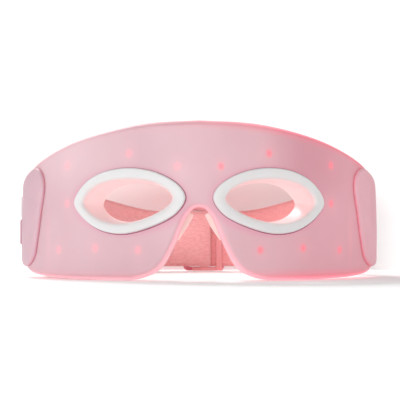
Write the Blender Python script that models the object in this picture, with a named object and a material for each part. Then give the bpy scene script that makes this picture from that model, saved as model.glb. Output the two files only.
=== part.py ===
"""Wrap-round light-therapy eye mask with a soft strap.

Lengths are in millimetres and become metres when each piece is finished. The wearer looks towards -Y and
+Z is up. Pieces that follow the visor are modelled flat, as (u, d, z): u along the visor from the nose, d into
the mask from its outer face, z up. wrap_visor() then bends them round the head. Strap pieces are modelled flat
too, as (s, r, z), and wrap_strap() bends them round the back.
"""
import math

import bmesh
import bpy
import numpy as np
from mathutils import Matrix, Vector

for item in list(bpy.data.objects):
    bpy.data.objects.remove(item, do_unlink=True)

# Visor
FRONT_Y = -82.0
HALF_WIDTH = 93.0
SWEEP_DEPTH = 72.0
MID_Z = 39.0
LEAN = 0.00035
CROWN = 0.016
SKIN = 1.8
RIM_DEPTH = 9.0
LINER_FRONT = 9.25
LINER_BACK = 10.8

# Eye openings
TUNNEL_WALL = 1.7
TUNNEL_BACK = 13.2
RING_PROUD = 1.8

# Temples
COVER_PROUD = 2.2
CONTROL_U = -120.0
BOARD_D = 7.0
BUTTON_Z = 23.6
PORT_Z = 36.7
PIN_U = 126.0
PIN_D = 5.5

# Strap
STRAP_RADIUS = 87.5
STRAP_Y = FRONT_Y + 76.0
STRAP_WIDTH = 34.0
STRAP_MID_Z = 19.8
STRAP_RISE = 8.4
BAND_THICK = 1.3
SLIDER_WIDTH = 25.0
SLIDER_HEIGHT = 39.6
SLIDER_S = 2.7

MM = 0.001

# Half outlines as (u, z), from the top centre round by the temple to the nose notch
VISOR_HALF = [
    (0, 77.4), (30, 75.9), (62, 70.1), (91, 62.0), (110, 56.4), (122, 52.0), (131.3, 45.6), (134, 35),
    (134, 24), (131, 12.5), (123, 5.8), (112, 2.9), (90, 0.9), (62, 0), (34, 0), (20.3, 5.2),
    (12.8, 16.5), (8.9, 25.4), (5.8, 31.6), (2.4, 34.9), (0, 35.4),
]
RING_OUTER = [
    (64.7, 37.6), (60, 45.8), (50, 52), (35, 54.4), (20, 51.7), (9.5, 45.4), (6.6, 39.6), (11, 32.2),
    (22, 26.1), (37.5, 22.3), (50, 24.4), (60, 30.9),
]
RING_INNER = [
    (59, 37.8), (54.6, 44), (46, 47.6), (33.5, 48.6), (21.5, 46.6), (15, 42.6), (13.2, 39.2), (16.2, 35.4),
    (25, 30.6), (37, 27.8), (47.5, 29), (55.6, 33.2),
]
RING_THROAT = [
    (56.2, 37.2), (52.4, 42.2), (45, 46.2), (33.5, 47.4), (21.8, 45.7), (15.5, 42.2), (13.7, 39.1), (16.6, 35.7),
    (25.2, 31.1), (37, 28.3), (46.8, 29.5), (53.4, 33),
]
COVER_OUTLINE = [
    (88.4, 46), (90.4, 52.4), (96.5, 56.2), (108, 54), (119.5, 49.6), (127.6, 42.5), (130.8, 32),
    (130, 18.8), (124.6, 9.8), (115, 5.8), (105.2, 6.4), (98, 10.8), (94, 20), (90.8, 33),
]
LED_SPOTS = [(71.2, 56.6), (35, 61.4), (10.6, 54.9), (70.2, 37.5), (76, 14.4), (52.6, 15.4), (29.8, 14.5)]
SCREW_SPOTS = [(87.2, 24), (87.2, 48)]


# ---------------------------------------------------------------- outlines

def spline(points, steps, closed=True):
    """Centripetal Catmull-Rom curve through the points, with so many steps on each span."""
    pts = [np.array(p, float) for p in points]
    if closed:
        pts = [pts[-1]] + pts + pts[:2]
    else:
        pts = [2 * pts[0] - pts[1]] + pts + [2 * pts[-1] - pts[-2]]
    out = []
    for p0, p1, p2, p3 in zip(pts, pts[1:], pts[2:], pts[3:]):
        k1 = math.sqrt(np.linalg.norm(p1 - p0))
        k2 = k1 + math.sqrt(np.linalg.norm(p2 - p1))
        k3 = k2 + math.sqrt(np.linalg.norm(p3 - p2))
        for step in range(steps):
            t = k1 + (k2 - k1) * step / steps
            a1 = (k1 - t) / k1 * p0 + t / k1 * p1
            a2 = (k2 - t) / (k2 - k1) * p1 + (t - k1) / (k2 - k1) * p2
            a3 = (k3 - t) / (k3 - k2) * p2 + (t - k2) / (k3 - k2) * p3
            b1 = (k2 - t) / k2 * a1 + t / k2 * a2
            b2 = (k3 - t) / (k3 - k1) * a2 + (t - k1) / (k3 - k1) * a3
            out.append((k2 - t) / (k2 - k1) * b1 + (t - k1) / (k2 - k1) * b2)
    if not closed:
        out.append(pts[-2])
    return np.array(out)


def area(loop):
    x, z = loop[:, 0], loop[:, 1]
    return 0.5 * float(np.sum(x * np.roll(z, -1) - np.roll(x, -1) * z))


def inset(loop, amount):
    """The closed loop moved inwards by amount, or outwards when it is negative."""
    edge = np.roll(loop, -1, axis=0) - loop
    edge = edge / np.linalg.norm(edge, axis=1)[:, None]
    inward = np.stack([-edge[:, 1], edge[:, 0]], axis=1)
    if area(loop) < 0:
        inward = -inward
    before = np.roll(inward, 1, axis=0)
    corner = inward + before
    corner = corner / np.sum(corner * inward, axis=1)[:, None]
    return loop + amount * corner


def visor_outline(amount=0.0):
    half = spline(VISOR_HALF, 2, closed=False)
    left = half[1:-1][::-1] * np.array([-1.0, 1.0])
    loop = np.concatenate([half, left])
    loop[:, 1] = np.maximum(loop[:, 1], 0.0)
    return inset(loop, amount)


def eye_outline(side, amount=0.0):
    loop = inset(spline(RING_INNER, 3), amount)
    return loop * np.array([side, 1.0])


def rounded_box(width, height, radius, centre=(0, 0), arc=4):
    loop = []
    for quarter in range(4):
        sx = (1, -1, -1, 1)[quarter]
        sz = (1, 1, -1, -1)[quarter]
        for step in range(arc + 1):
            angle = math.pi / 2 * (quarter + step / arc)
            loop.append((centre[0] + sx * (width / 2 - radius) + radius * math.cos(angle),
                         centre[1] + sz * (height / 2 - radius) + radius * math.sin(angle)))
    return np.array(loop)


def circle(radius, centre=(0, 0), count=12):
    angles = np.arange(count) * 2 * math.pi / count
    return np.stack([centre[0] + radius * np.cos(angles), centre[1] + radius * np.sin(angles)], axis=1)


# ---------------------------------------------------------------- solids

def finish_mesh(bm, name):
    bmesh.ops.recalc_face_normals(bm, faces=bm.faces)
    mesh = bpy.data.meshes.new(name)
    bm.to_mesh(mesh)
    bm.free()
    obj = bpy.data.objects.new(name, mesh)
    bpy.context.collection.objects.link(obj)
    return obj


def slab(name, loop, near, far, round_near=0.0, round_far=0.0, segments=2):
    """A plate with the given outline in x and z, from y = near to y = far, with rounded outline edges."""
    bm = bmesh.new()
    front = bm.faces.new([bm.verts.new((p[0], near, p[1])) for p in loop])
    grown = bmesh.ops.extrude_face_region(bm, geom=[front])["geom"]
    moved = [v for v in grown if isinstance(v, bmesh.types.BMVert)]
    bmesh.ops.translate(bm, verts=moved, vec=(0, far - near, 0))
    for level, radius in ((near, round_near), (far, round_far)):
        if radius > 0:
            edges = [e for e in bm.edges if all(abs(v.co.y - level) < 1e-6 for v in e.verts)]
            bmesh.ops.bevel(bm, geom=edges, offset=radius, segments=segments, profile=0.5, affect='EDGES',
                            clamp_overlap=True)
    return finish_mesh(bm, name)


def block(name, low, high, bevel=0.0, segments=2):
    bm = bmesh.new()
    bmesh.ops.create_cube(bm, size=1.0)
    for v in bm.verts:
        v.co = [low[k] + (v.co[k] + 0.5) * (high[k] - low[k]) for k in range(3)]
    if bevel > 0:
        bmesh.ops.bevel(bm, geom=bm.edges[:], offset=bevel, segments=segments, profile=0.5, affect='EDGES')
    return finish_mesh(bm, name)


def upright_rod(name, radius, low, high, centre=(0, 0), count=14):
    """A rod along z whose axis is at (x, y) = centre."""
    bm = bmesh.new()
    bmesh.ops.create_cone(bm, cap_ends=True, segments=count, radius1=radius, radius2=radius, depth=high - low)
    bmesh.ops.translate(bm, verts=bm.verts, vec=(centre[0], centre[1], (low + high) / 2))
    return finish_mesh(bm, name)


def skin(name, sections, ring=True):
    """A solid through sections, each a closed list of points. A ring joins up, the rest get end caps."""
    bm = bmesh.new()
    loops = [[bm.verts.new(tuple(p)) for p in section] for section in sections]
    pairs = list(zip(loops, loops[1:]))
    if ring:
        pairs.append((loops[-1], loops[0]))
    for a, b in pairs:
        for k in range(len(a)):
            m = (k + 1) % len(a)
            bm.faces.new((a[k], a[m], b[m], b[k]))
    if not ring:
        bm.faces.new(loops[0])
        bm.faces.new(loops[-1])
    return finish_mesh(bm, name)


def boolean(obj, others, operation):
    for other in others:
        mod = obj.modifiers.new("shape", 'BOOLEAN')
        mod.operation = operation
        mod.solver = 'EXACT'
        mod.object = other
        bpy.context.view_layer.update()
        evaluated = obj.evaluated_get(bpy.context.evaluated_depsgraph_get())
        shaped = bpy.data.meshes.new_from_object(evaluated)
        obj.modifiers.clear()
        obj.data = shaped
    for other in others:
        bpy.data.objects.remove(other, do_unlink=True)
    return obj


def cut(obj, *others):
    return boolean(obj, others, 'DIFFERENCE')


def join(obj, *others):
    return boolean(obj, others, 'UNION')


def keep(obj, other):
    return boolean(obj, [other], 'INTERSECT')


# ---------------------------------------------------------------- bending

SWEEP = np.linspace(0.0, math.pi / 2, 1501)
SPEED = np.hypot(HALF_WIDTH * np.cos(SWEEP), SWEEP_DEPTH * np.sin(SWEEP))
ARC = np.concatenate([[0.0], np.cumsum((SPEED[1:] + SPEED[:-1]) / 2 * np.diff(SWEEP))])


def on_visor(u, d, z):
    """World point for visor coordinates. Past the quarter ellipse the temple runs straight back."""
    side = 1.0 if u >= 0 else -1.0
    angle = float(np.interp(abs(u), ARC, SWEEP))
    past = max(abs(u) - float(ARC[-1]), 0.0)
    rise = (z - MID_Z) / MID_Z
    grow = 1.0 - LEAN * (z - MID_Z) - CROWN * rise * rise
    x = HALF_WIDTH * grow * math.sin(angle)
    y = FRONT_Y + SWEEP_DEPTH * (1.0 - grow * math.cos(angle)) + past
    normal = Vector((SWEEP_DEPTH * math.sin(angle), -HALF_WIDTH * math.cos(angle))).normalized()
    return Vector((side * (x - d * normal.x), y - d * normal.y, z))


def on_strap(s, r, z):
    """World point for strap coordinates. The strap lies low at the back and rises towards the temples."""
    quarter = STRAP_RADIUS * math.pi / 2
    along = min(abs(s), quarter)
    past = abs(s) - along
    angle = along / STRAP_RADIUS
    t = min(max((math.degrees(angle) - 15.5) / 36.0, 0.0), 1.0)
    lift = STRAP_RISE * t * t * (3 - 2 * t)
    radius = STRAP_RADIUS + r
    side = 1.0 if s >= 0 else -1.0
    return Vector((side * radius * math.sin(angle), STRAP_Y + radius * math.cos(angle) - past, z + lift))


def slice_mesh(obj, axis, positions):
    bm = bmesh.new()
    bm.from_mesh(obj.data)
    normal = Vector((axis == 0, axis == 1, axis == 2))
    for position in positions:
        geom = bm.verts[:] + bm.edges[:] + bm.faces[:]
        bmesh.ops.bisect_plane(bm, geom=geom, dist=1e-4, plane_co=normal * position, plane_no=normal)
    bmesh.ops.triangulate(bm, faces=bm.faces[:], quad_method='BEAUTY', ngon_method='BEAUTY')
    bm.to_mesh(obj.data)
    bm.free()


def bend(obj, place, u_step, z_step):
    """Cut the flat piece into strips and rows so that it can bend, then move its points."""
    if u_step:
        slice_mesh(obj, 0, [float(u) for u in np.arange(-144.0, 145.0, u_step)])
    if z_step:
        slice_mesh(obj, 2, [float(z) for z in np.arange(z_step, 78.0, z_step)])
    slice_mesh(obj, 0, [])
    for v in obj.data.vertices:
        v.co = place(*v.co) * MM
    return obj


def wrap_visor(obj, u_step=8.0, z_step=19.5):
    return bend(obj, on_visor, u_step, z_step)


def wrap_strap(obj, place=None, s_step=6.0):
    return bend(obj, place or on_strap, s_step, None)


def seat_frame(u, d, z):
    """Right-handed frame on the visor: columns along the visor, into the mask and up, then the origin."""
    origin = on_visor(u, d, z)
    along = (on_visor(u + 0.5, d, z) - on_visor(u - 0.5, d, z)).normalized()
    up = Vector((0, 0, 1))
    inward = up.cross(along)
    frame = Matrix((along, inward, up)).transposed().to_4x4()
    frame.translation = origin
    return frame


def seat(obj, u, d, z):
    """Stand a rigid piece, modelled round its own origin, on the visor without bending it."""
    frame = seat_frame(u, d, z)
    for v in obj.data.vertices:
        v.co = (frame @ v.co) * MM
    bm = bmesh.new()
    bm.from_mesh(obj.data)
    bmesh.ops.triangulate(bm, faces=[f for f in bm.faces if len(f.verts) > 4])
    bm.to_mesh(obj.data)
    bm.free()
    return obj


def paint(obj, colour, roughness, metallic=0.0, glow=0.0, alpha=1.0):
    material = bpy.data.materials.new(obj.name)
    material.use_nodes = True
    shader = material.node_tree.nodes["Principled BSDF"]
    shader.inputs["Base Color"].default_value = (*colour, 1.0)
    shader.inputs["Roughness"].default_value = roughness
    shader.inputs["Metallic"].default_value = metallic
    shader.inputs["Alpha"].default_value = alpha
    if glow > 0:
        shader.inputs["Emission Color"].default_value = (*colour, 1.0)
        shader.inputs["Emission Strength"].default_value = glow
    obj.data.materials.clear()
    obj.data.materials.append(material)
    return obj


PINK = (0.80, 0.55, 0.60)
COVER_PINK = (0.76, 0.49, 0.56)
WHITE = (0.86, 0.86, 0.86)
CORAL = (0.84, 0.33, 0.34)
PEACH = (0.90, 0.62, 0.56)
AMBER = (0.62, 0.30, 0.08)
GREEN = (0.03, 0.22, 0.10)
STEEL = (0.62, 0.63, 0.65)
DARK = (0.03, 0.03, 0.035)


# ---------------------------------------------------------------- housing

def eye_holes(amount, near=-4.0, far=16.0):
    return [slab("hole", eye_outline(side, -amount), near, far) for side in (-1, 1)]


def front_shell():
    shell = slab("front_shell", visor_outline(), 0.0, RIM_DEPTH, round_near=2.2, segments=2)
    cut(shell, slab("hollow", visor_outline(SKIN), SKIN, RIM_DEPTH + 1))
    bosses = []
    for side in (-1, 1):
        for low, high in ((6.2, 10.4), (46.0, 48.6)):
            boss = block("boss", (side * PIN_U - 2.6, SKIN - 0.3, low), (side * PIN_U + 2.6, 8.6, high))
            bosses.append(keep(boss, slab("inside", visor_outline(0.9), 0.5, 9.5)))
        for u, z in SCREW_SPOTS:
            bosses.append(slab("boss", circle(2.6, (side * u, z), 12), SKIN - 0.3, RIM_DEPTH))
    join(shell, *bosses)
    cutters = eye_holes(TUNNEL_WALL + 0.3)
    for side in (-1, 1):
        window = rounded_box(29, 34, 4, (side * 110.5, 30.5))
        cutters.append(slab("window", window, -1, SKIN + 0.2))
        cutters.append(block("slot", (side * 131.3 - 8.8, 2.9, 10.5), (side * 131.3 + 8.8, 8.2, 45.9)))
        cutters.append(upright_rod("pin_hole", 1.05, 7.6, 47.6, (side * PIN_U, PIN_D)))
        for u, z in SCREW_SPOTS:
            cutters.append(slab("screw_hole", circle(1.0, (side * u, z), 10), 4.0, RIM_DEPTH + 1))
    cut(shell, *cutters)
    return paint(wrap_visor(shell), PINK, 0.34)


def inner_liner():
    liner = slab("inner_liner", visor_outline(0.7), LINER_FRONT, LINER_BACK, round_far=0.6)
    cutters = eye_holes(TUNNEL_WALL + 0.3)
    for side in (-1, 1):
        for u, z in LED_SPOTS:
            cutters.append(slab("window", circle(3.0, (side * u, z)), 8, 12))
        for u, z in SCREW_SPOTS:
            cutters.append(slab("screw_hole", circle(1.2, (side * u, z), 10), 8, 12))
    cut(liner, *cutters)
    return paint(wrap_visor(liner), PEACH, 0.5)


def eye_ring(name, side):
    """A white ring: a broad face in front and a tunnel wall that runs back through the mask."""
    outer = spline(RING_OUTER, 3)
    inner = spline(RING_INNER, 3)
    throat = spline(RING_THROAT, 3)
    wall = inset(inner, -TUNNEL_WALL)
    face_profile = [(0.0, 0.3), (0.06, -0.7), (0.22, -1.5), (0.5, -RING_PROUD), (0.8, -1.45), (0.96, -0.8),
                    (1.0, -0.2)]
    sections = []
    for a, b, w, c in zip(inner, outer, wall, throat):
        section = [(*(a + (b - a) * share), d) for share, d in face_profile]
        section += [(*w, -0.2), (*w, TUNNEL_BACK - 0.5)]
        section += [(*(c + (w - c) * 0.6), TUNNEL_BACK), (*c, TUNNEL_BACK - 0.6)]
        sections.append([(side * u, d, z) for u, z, d in section])
    return paint(wrap_visor(skin(name, sections), None, None), WHITE, 0.42)


def eye_cushion(name, side):
    near = inset(spline(RING_INNER, 3), -TUNNEL_WALL - 0.35)
    far = inset(spline(RING_INNER, 3), -TUNNEL_WALL - 5.2)
    profile = [(0.0, 11.0), (0.0, 13.0), (0.2, 14.3), (0.5, 14.8), (0.8, 14.1), (1.0, 12.6), (1.0, 11.0)]
    sections = []
    for a, b in zip(near, far):
        points = [(*(a + (b - a) * share), d) for share, d in profile]
        sections.append([(side * u, d, z) for u, z, d in points])
    return paint(wrap_visor(skin(name, sections), None, None), PEACH, 0.6)


def nose_pad(name, side):
    """A soft flange along one side of the nose notch that flares in and back towards the nose."""
    path = spline([(12.2, 19.5), (10.4, 23.6), (8.4, 28), (5.4, 33.0)], 4, closed=False)
    profile = [(1.9, 10.95), (0.6, 10.95), (-0.4, 12.0), (-1.9, 15.2), (-2.7, 18.6), (-2.2, 19.0),
               (-1.1, 18.4), (0.2, 15.4), (1.2, 12.9)]
    sections = []
    for k, point in enumerate(path):
        ahead = path[min(k + 1, len(path) - 1)] - path[max(k - 1, 0)]
        outward = np.array([ahead[1], -ahead[0]]) / np.linalg.norm(ahead)
        taper = 0.55 + 0.45 * math.sin(math.pi * min(k + 1.5, len(path) - k + 0.5) / len(path))
        reach = 0.2 + 0.8 * min(1.5 * k / (len(path) - 1), 1.0)
        section = []
        for across, d in profile:
            depth = 10.95 + (d - 10.95) * taper
            place = point + outward * across * (reach if across < 0 else 1.0)
            section.append((side * max(place[0], 0.7), depth, place[1]))
        sections.append(section)
    return paint(wrap_visor(skin(name, sections, ring=False), None, None), PEACH, 0.55)


def brow_pad():
    top = spline([(-46, 73.2), (-30, 75.9), (0, 77.4), (30, 75.9), (46, 73.2)], 6, closed=False)
    profile = [(-4.4, 11.0), (-4.4, 13.2), (-5.6, 14.6), (-7.2, 14.9), (-8.8, 14.4), (-9.8, 13.0),
               (-9.8, 11.0)]
    sections = [[(p[0], d, p[1] + drop) for drop, d in profile] for p in top]
    return paint(wrap_visor(skin("brow_pad", sections, ring=False), None, None), PEACH, 0.6)


def temple_cover(name, side):
    outline = spline(COVER_OUTLINE, 2) * np.array([side, 1.0])
    cover = slab(name, outline, -COVER_PROUD, -0.25, round_near=1.3, segments=2)
    if side < 0:
        cut(cover,
            slab("button_hole", rounded_box(5.6, 13.8, 2.7, (CONTROL_U, BUTTON_Z)), -4, 2),
            slab("port_seat", rounded_box(6.6, 11.4, 2.6, (CONTROL_U, PORT_Z)), -4, -1.15),
            slab("port_hole", rounded_box(4.2, 9.8, 1.8, (CONTROL_U, PORT_Z)), -4, 2))
    return paint(wrap_visor(cover), COVER_PINK, 0.38)


# ---------------------------------------------------------------- lights and electronics

def led_board(name, side):
    board = slab(name, visor_outline(4.6), 6.2, 6.6)
    keep(board, block("half", (min(side * 7, side * 82.5), 5, -5), (max(side * 7, side * 82.5), 8, 85)))
    cut(board, slab("hole", eye_outline(side, -TUNNEL_WALL - 1.0), 5, 8))
    return paint(wrap_visor(board), AMBER, 0.4)


def led(name, side, u, z):
    """A surface-mount light: a square body with a round lens that looks at the face."""
    body = block(name, (-2.5, -0.8, -2.5), (2.5, 0.6, 2.5), bevel=0.25, segments=1)
    lens = slab("lens", circle(1.9, count=12), 0.4, 1.2, round_far=0.35, segments=1)
    join(body, lens)
    return paint(seat(body, side * u, 7.7, z), (1.0, 0.22, 0.16), 0.3, glow=3.0)


def bridge_ribbon():
    ribbon = slab("bridge_ribbon", rounded_box(26, 5, 1.2, (0, 69.2)), 5.6, 5.9)
    return paint(wrap_visor(ribbon), AMBER, 0.4)


def battery():
    cell = block("battery", (-13, -1.7, -15), (13, 1.7, 15), bevel=0.8)
    return paint(seat(cell, 107, 6.1, 30), (0.50, 0.52, 0.55), 0.35, metallic=0.6)


def on_board(obj, u=0.0, z=0.0):
    """Stand a piece on the control board's outer face, u and z measured from the point below the controls."""
    frame = seat_frame(CONTROL_U, BOARD_D, 31)
    for v in obj.data.vertices:
        v.co = (frame @ (v.co + Vector((u, 0, z)))) * MM
    return obj


def control_board():
    board = slab("control_board", rounded_box(19, 33, 1.5, (6.9, 0)), 0.0, 0.8)
    return paint(on_board(board), GREEN, 0.45)


def chip(name, u, z, width, height, thick):
    low = (-width / 2, -thick, -height / 2)
    high = (width / 2, -0.06, height / 2)
    body = block(name, low, high, bevel=0.15, segments=1)
    return paint(on_board(body, u, z), DARK, 0.4)


def tact_switch():
    body = block("tact_switch", (-2.6, -1.9, -2.6), (2.6, -0.06, 2.6), bevel=0.2, segments=1)
    join(body, slab("plunger", circle(1.3, count=12), -2.7, -1.5))
    return body


def usb_socket():
    """An upright charging socket: a rounded metal tube with a tongue standing on its floor."""
    body = slab("usb_socket", rounded_box(3.26, 8.94, 1.5), -8.1, -0.06)
    cut(body, slab("mouth", rounded_box(2.5, 8.2, 1.15), -9, -1.3))
    join(body, block("tongue", (-0.35, -6.4, -3.3), (0.35, -1.0, 3.3)))
    return body


def wire(name, path, radius, sides=6):
    points = spline(path, 3, closed=False)
    sections = []
    for k, point in enumerate(points):
        ahead = points[min(k + 1, len(points) - 1)] - points[max(k - 1, 0)]
        ahead = Vector(ahead).normalized()
        first = ahead.cross(Vector((0, 1, 0))).normalized()
        second = ahead.cross(first)
        ring = []
        for j in range(sides):
            angle = 2 * math.pi * j / sides
            ring.append(Vector(point) + radius * (math.cos(angle) * first + math.sin(angle) * second))
        sections.append(ring)
    return wrap_visor(skin(name, sections, ring=False), None, None)


def button():
    """A pill with a flange behind the cover. It slides in and presses the push switch."""
    cap = slab("power_button", rounded_box(5.0, 13.2, 2.45), -1.45, 1.7, round_near=0.7)
    join(cap, slab("flange", rounded_box(7.0, 15.2, 3.0), 1.5, 2.2))
    join(cap, slab("stem", circle(1.4, count=12), 2.0, 5.0))
    return cap


def port_cover():
    """A soft flap that sits in the cover over the charging socket, with a low plug on its back."""
    flap = slab("port_cover", rounded_box(6.0, 10.8, 2.4), -1.45, -0.15, round_near=0.45)
    join(flap, slab("plug", rounded_box(1.9, 6.9, 0.9), -0.3, 0.9))
    return flap


# ---------------------------------------------------------------- strap

def strap_pin(name, side):
    pin = upright_rod(name, 0.8, 7.9, 47.3, (side * PIN_U, PIN_D), 12)
    return paint(wrap_visor(pin, None, None), STEEL, 0.3, metallic=1.0)


def strap_z():
    return STRAP_MID_Z - STRAP_WIDTH / 2, STRAP_MID_Z + STRAP_WIDTH / 2


def pin_s():
    """Where the pins stand along the strap."""
    return STRAP_RADIUS * math.pi / 2 + STRAP_Y - on_visor(PIN_U, PIN_D, 28).y


def slider_place(s, r, z):
    """Strap coordinates measured from the middle of the slider at rest."""
    return on_strap(s + SLIDER_S, r, z)


def strap_solid(name, loop, over=0.0):
    """A strap piece drawn in plan as (s, r). It stands as high as the strap is wide, and over at each end."""
    low, high = strap_z()
    bm = bmesh.new()
    base = bm.faces.new([bm.verts.new((p[0], p[1], low - over)) for p in loop])
    grown = bmesh.ops.extrude_face_region(bm, geom=[base])["geom"]
    moved = [v for v in grown if isinstance(v, bmesh.types.BMVert)]
    bmesh.ops.translate(bm, verts=moved, vec=(0, 0, high - low + 2 * over))
    return finish_mesh(bm, name)


def strap_band():
    low, high = strap_z()
    half = BAND_THICK / 2
    end = pin_s()
    band = strap_solid("strap_band", [(-end, -half), (end, -half), (end, half), (-end, half)])
    pin_r = abs(on_visor(PIN_U, PIN_D, 41).x) - STRAP_RADIUS
    hems = [upright_rod("hem", 2.3, low, high, (side * end, pin_r), 16) for side in (-1, 1)]
    join(band, *hems)
    holes = [upright_rod("hole", 1.5, low - 1, high + 1, (side * end, pin_r), 14) for side in (-1, 1)]
    cut(band, *holes)
    return paint(wrap_strap(band), CORAL, 0.95)


def strap_loop():
    """The strap's sewn end, folded round the slider's centre bar. It rides with the slider."""
    outer = spline([(-26, -0.95), (-14, -0.95), (-4, -1.0), (3.0, -1.15), (4.75, -2.8), (4.3, -5.0),
                    (2.6, -5.7), (-3.0, -5.7), (-8, -5.0), (-13.0, -3.6), (-18, -3.2), (-26, -3.2)], 3,
                   closed=False)
    inner = spline([(-9.5, -2.6), (-3.2, -2.05), (2.6, -2.05), (3.55, -3.2), (3.3, -4.2), (2.4, -4.55),
                    (-3.0, -4.55)], 3)
    loop = strap_solid("strap_loop", outer)
    cut(loop, strap_solid("inner", inner, over=1.0))
    return paint(wrap_strap(loop, slider_place), CORAL, 0.95)


def strap_return():
    """The strap's second layer, from the left temple back to the seam at the slider."""
    seam = SLIDER_S - 26.3
    end = 4.2 - pin_s()
    layer = strap_solid("strap_return", [(seam, -2.1), (seam, -1.0), (end, -1.0), (end, -2.1)])
    return paint(wrap_strap(layer), CORAL, 0.95)


def strap_slider():
    """A moulded slider: a frame with a tall window, and a centre bar and side bar set in on two rails."""
    low = STRAP_MID_Z - SLIDER_HEIGHT / 2
    high = STRAP_MID_Z + SLIDER_HEIGHT / 2
    frame = slab("strap_slider", rounded_box(SLIDER_WIDTH, SLIDER_HEIGHT, 3.0, (0, STRAP_MID_Z)), 0.95, 2.75,
                 round_near=0.4, round_far=0.6)
    cut(frame, slab("window", rounded_box(18.6, 34.9, 1.2, (0, STRAP_MID_Z)), -1, 4))
    rails = []
    for z0, z1 in ((low, low + 2.3), (high - 2.3, high)):
        rails.append(block("rail", (-7.2, -4.3, z0 + 0.02), (7.2, 1.8, z1 - 0.02), bevel=0.5))
        rails.append(block("foot", (6.6, -1.75, z0 + 0.02), (11.6, 1.8, z1 - 0.02), bevel=0.3))
    rails.append(block("bar", (-2.3, -4.3, low + 1.2), (2.3, -2.35, high - 1.2), bevel=0.4))
    rails.append(block("side_bar", (7.8, -1.7, low + 0.8), (11.5, -0.9, high - 0.8), bevel=0.25))
    join(frame, *rails)
    return paint(wrap_strap(frame, slider_place), COVER_PINK, 0.35)


# ---------------------------------------------------------------- the whole mask

front_shell()
inner_liner()
for side_name, side_sign in (("left", -1), ("right", 1)):
    eye_ring("eye_ring_" + side_name, side_sign)
    eye_cushion("eye_cushion_" + side_name, side_sign)
    nose_pad("nose_pad_" + side_name, side_sign)
    temple_cover("temple_cover_" + side_name, side_sign)
    led_board("led_board_" + side_name, side_sign)
    strap_pin("strap_pin_" + side_name, side_sign)
    for number, (led_u, led_z) in enumerate(LED_SPOTS, 1):
        led("led_%s_%d" % (side_name, number), side_sign, led_u, led_z)
    for place_name, (screw_u, screw_z) in zip(("lower", "upper"), SCREW_SPOTS):
        screw = slab("screw_%s_%s" % (side_name, place_name), circle(2.0, count=14), 11.0, 12.0, round_far=0.4)
        join(screw, slab("shank", circle(0.85, count=10), 5.0, 11.5))
        recess = block("recess", (-1.2, 11.6, -0.25), (1.2, 13, 0.25))
        cut(screw, recess)
        seat(screw, side_sign * screw_u, 0.0, screw_z)
        paint(screw, STEEL, 0.3, metallic=1.0)
brow_pad()
bridge_ribbon()
battery()
control_board()
chip("processor_chip", 9.5, 6.5, 6, 6, 1.0)
chip("charger_chip", 9.0, -7.5, 4, 5, 0.9)
paint(on_board(tact_switch(), 0.0, BUTTON_Z - 31), STEEL, 0.35, metallic=0.4)
paint(on_board(usb_socket(), 0.0, PORT_Z - 31), STEEL, 0.28, metallic=1.0)
paint(seat(button(), CONTROL_U, -1.55, BUTTON_Z), COVER_PINK, 0.4)
paint(seat(port_cover(), CONTROL_U, -1.35, PORT_Z), WHITE, 0.5)
plug = block("battery_connector", (-2.0, -0.9, -2.0), (2.0, 0.9, 2.0), bevel=0.2, segments=1)
paint(seat(plug, 79.0, 8.0, 30), WHITE, 0.45)
paint(wire("battery_lead_red", [(81.6, 7.9, 31.0), (85.5, 7.4, 35.5), (90, 5.6, 36), (92.6, 4.6, 36)], 0.45),
      (0.62, 0.02, 0.02), 0.4)
paint(wire("battery_lead_black", [(81.6, 7.9, 29.0), (85.5, 7.4, 31.5), (90, 5.6, 33.2), (92.6, 4.6, 33.5)], 0.45),
      DARK, 0.4)
strap_band()
strap_loop()
strap_return()
strap_slider()
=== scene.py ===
"""Looks for the light-therapy eye mask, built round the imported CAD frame.

Lengths in the modelling functions are in millimetres. Pieces that follow the visor are modelled flat as
(u, d, z), u along the visor from the nose, d into the mask and z up, and then wrapped round the head. Strap
pieces are modelled flat as (s, r, z) and wrapped round the back. Each wrapped piece keeps its flat
coordinates in the attribute "flat", which the materials read.
"""
import math

import bmesh
import bpy
import numpy as np
from mathutils import Matrix, Vector


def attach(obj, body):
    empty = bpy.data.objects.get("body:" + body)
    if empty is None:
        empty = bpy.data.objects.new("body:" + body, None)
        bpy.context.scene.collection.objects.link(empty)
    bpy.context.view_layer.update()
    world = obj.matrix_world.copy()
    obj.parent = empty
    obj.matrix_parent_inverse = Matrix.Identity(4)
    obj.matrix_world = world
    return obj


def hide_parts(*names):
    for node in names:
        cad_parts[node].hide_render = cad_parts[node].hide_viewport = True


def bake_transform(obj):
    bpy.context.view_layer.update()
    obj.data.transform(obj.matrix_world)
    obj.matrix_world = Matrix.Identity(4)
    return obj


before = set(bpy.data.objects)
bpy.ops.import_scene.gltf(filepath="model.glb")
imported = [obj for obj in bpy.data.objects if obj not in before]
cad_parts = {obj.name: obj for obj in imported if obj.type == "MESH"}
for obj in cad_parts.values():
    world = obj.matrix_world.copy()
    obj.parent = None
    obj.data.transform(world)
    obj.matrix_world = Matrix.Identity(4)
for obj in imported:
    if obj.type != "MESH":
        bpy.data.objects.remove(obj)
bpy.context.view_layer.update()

MM = 0.001

# Visor, as the CAD frame has it
FRONT_Y = -82.0
HALF_WIDTH = 93.0
SWEEP_DEPTH = 72.0
MID_Z = 39.0
LEAN = 0.00035
CROWN = 0.016
SKIN = 1.8
RIM_DEPTH = 9.0
LINER_FRONT = 9.25
LINER_BACK = 10.8
TUNNEL_WALL = 1.7
TUNNEL_BACK = 13.2
RING_PROUD = 1.8
COVER_PROUD = 2.2
CONTROL_U = -120.0
BUTTON_Z = 23.6
PORT_Z = 36.7
PIN_U = 126.0

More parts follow.
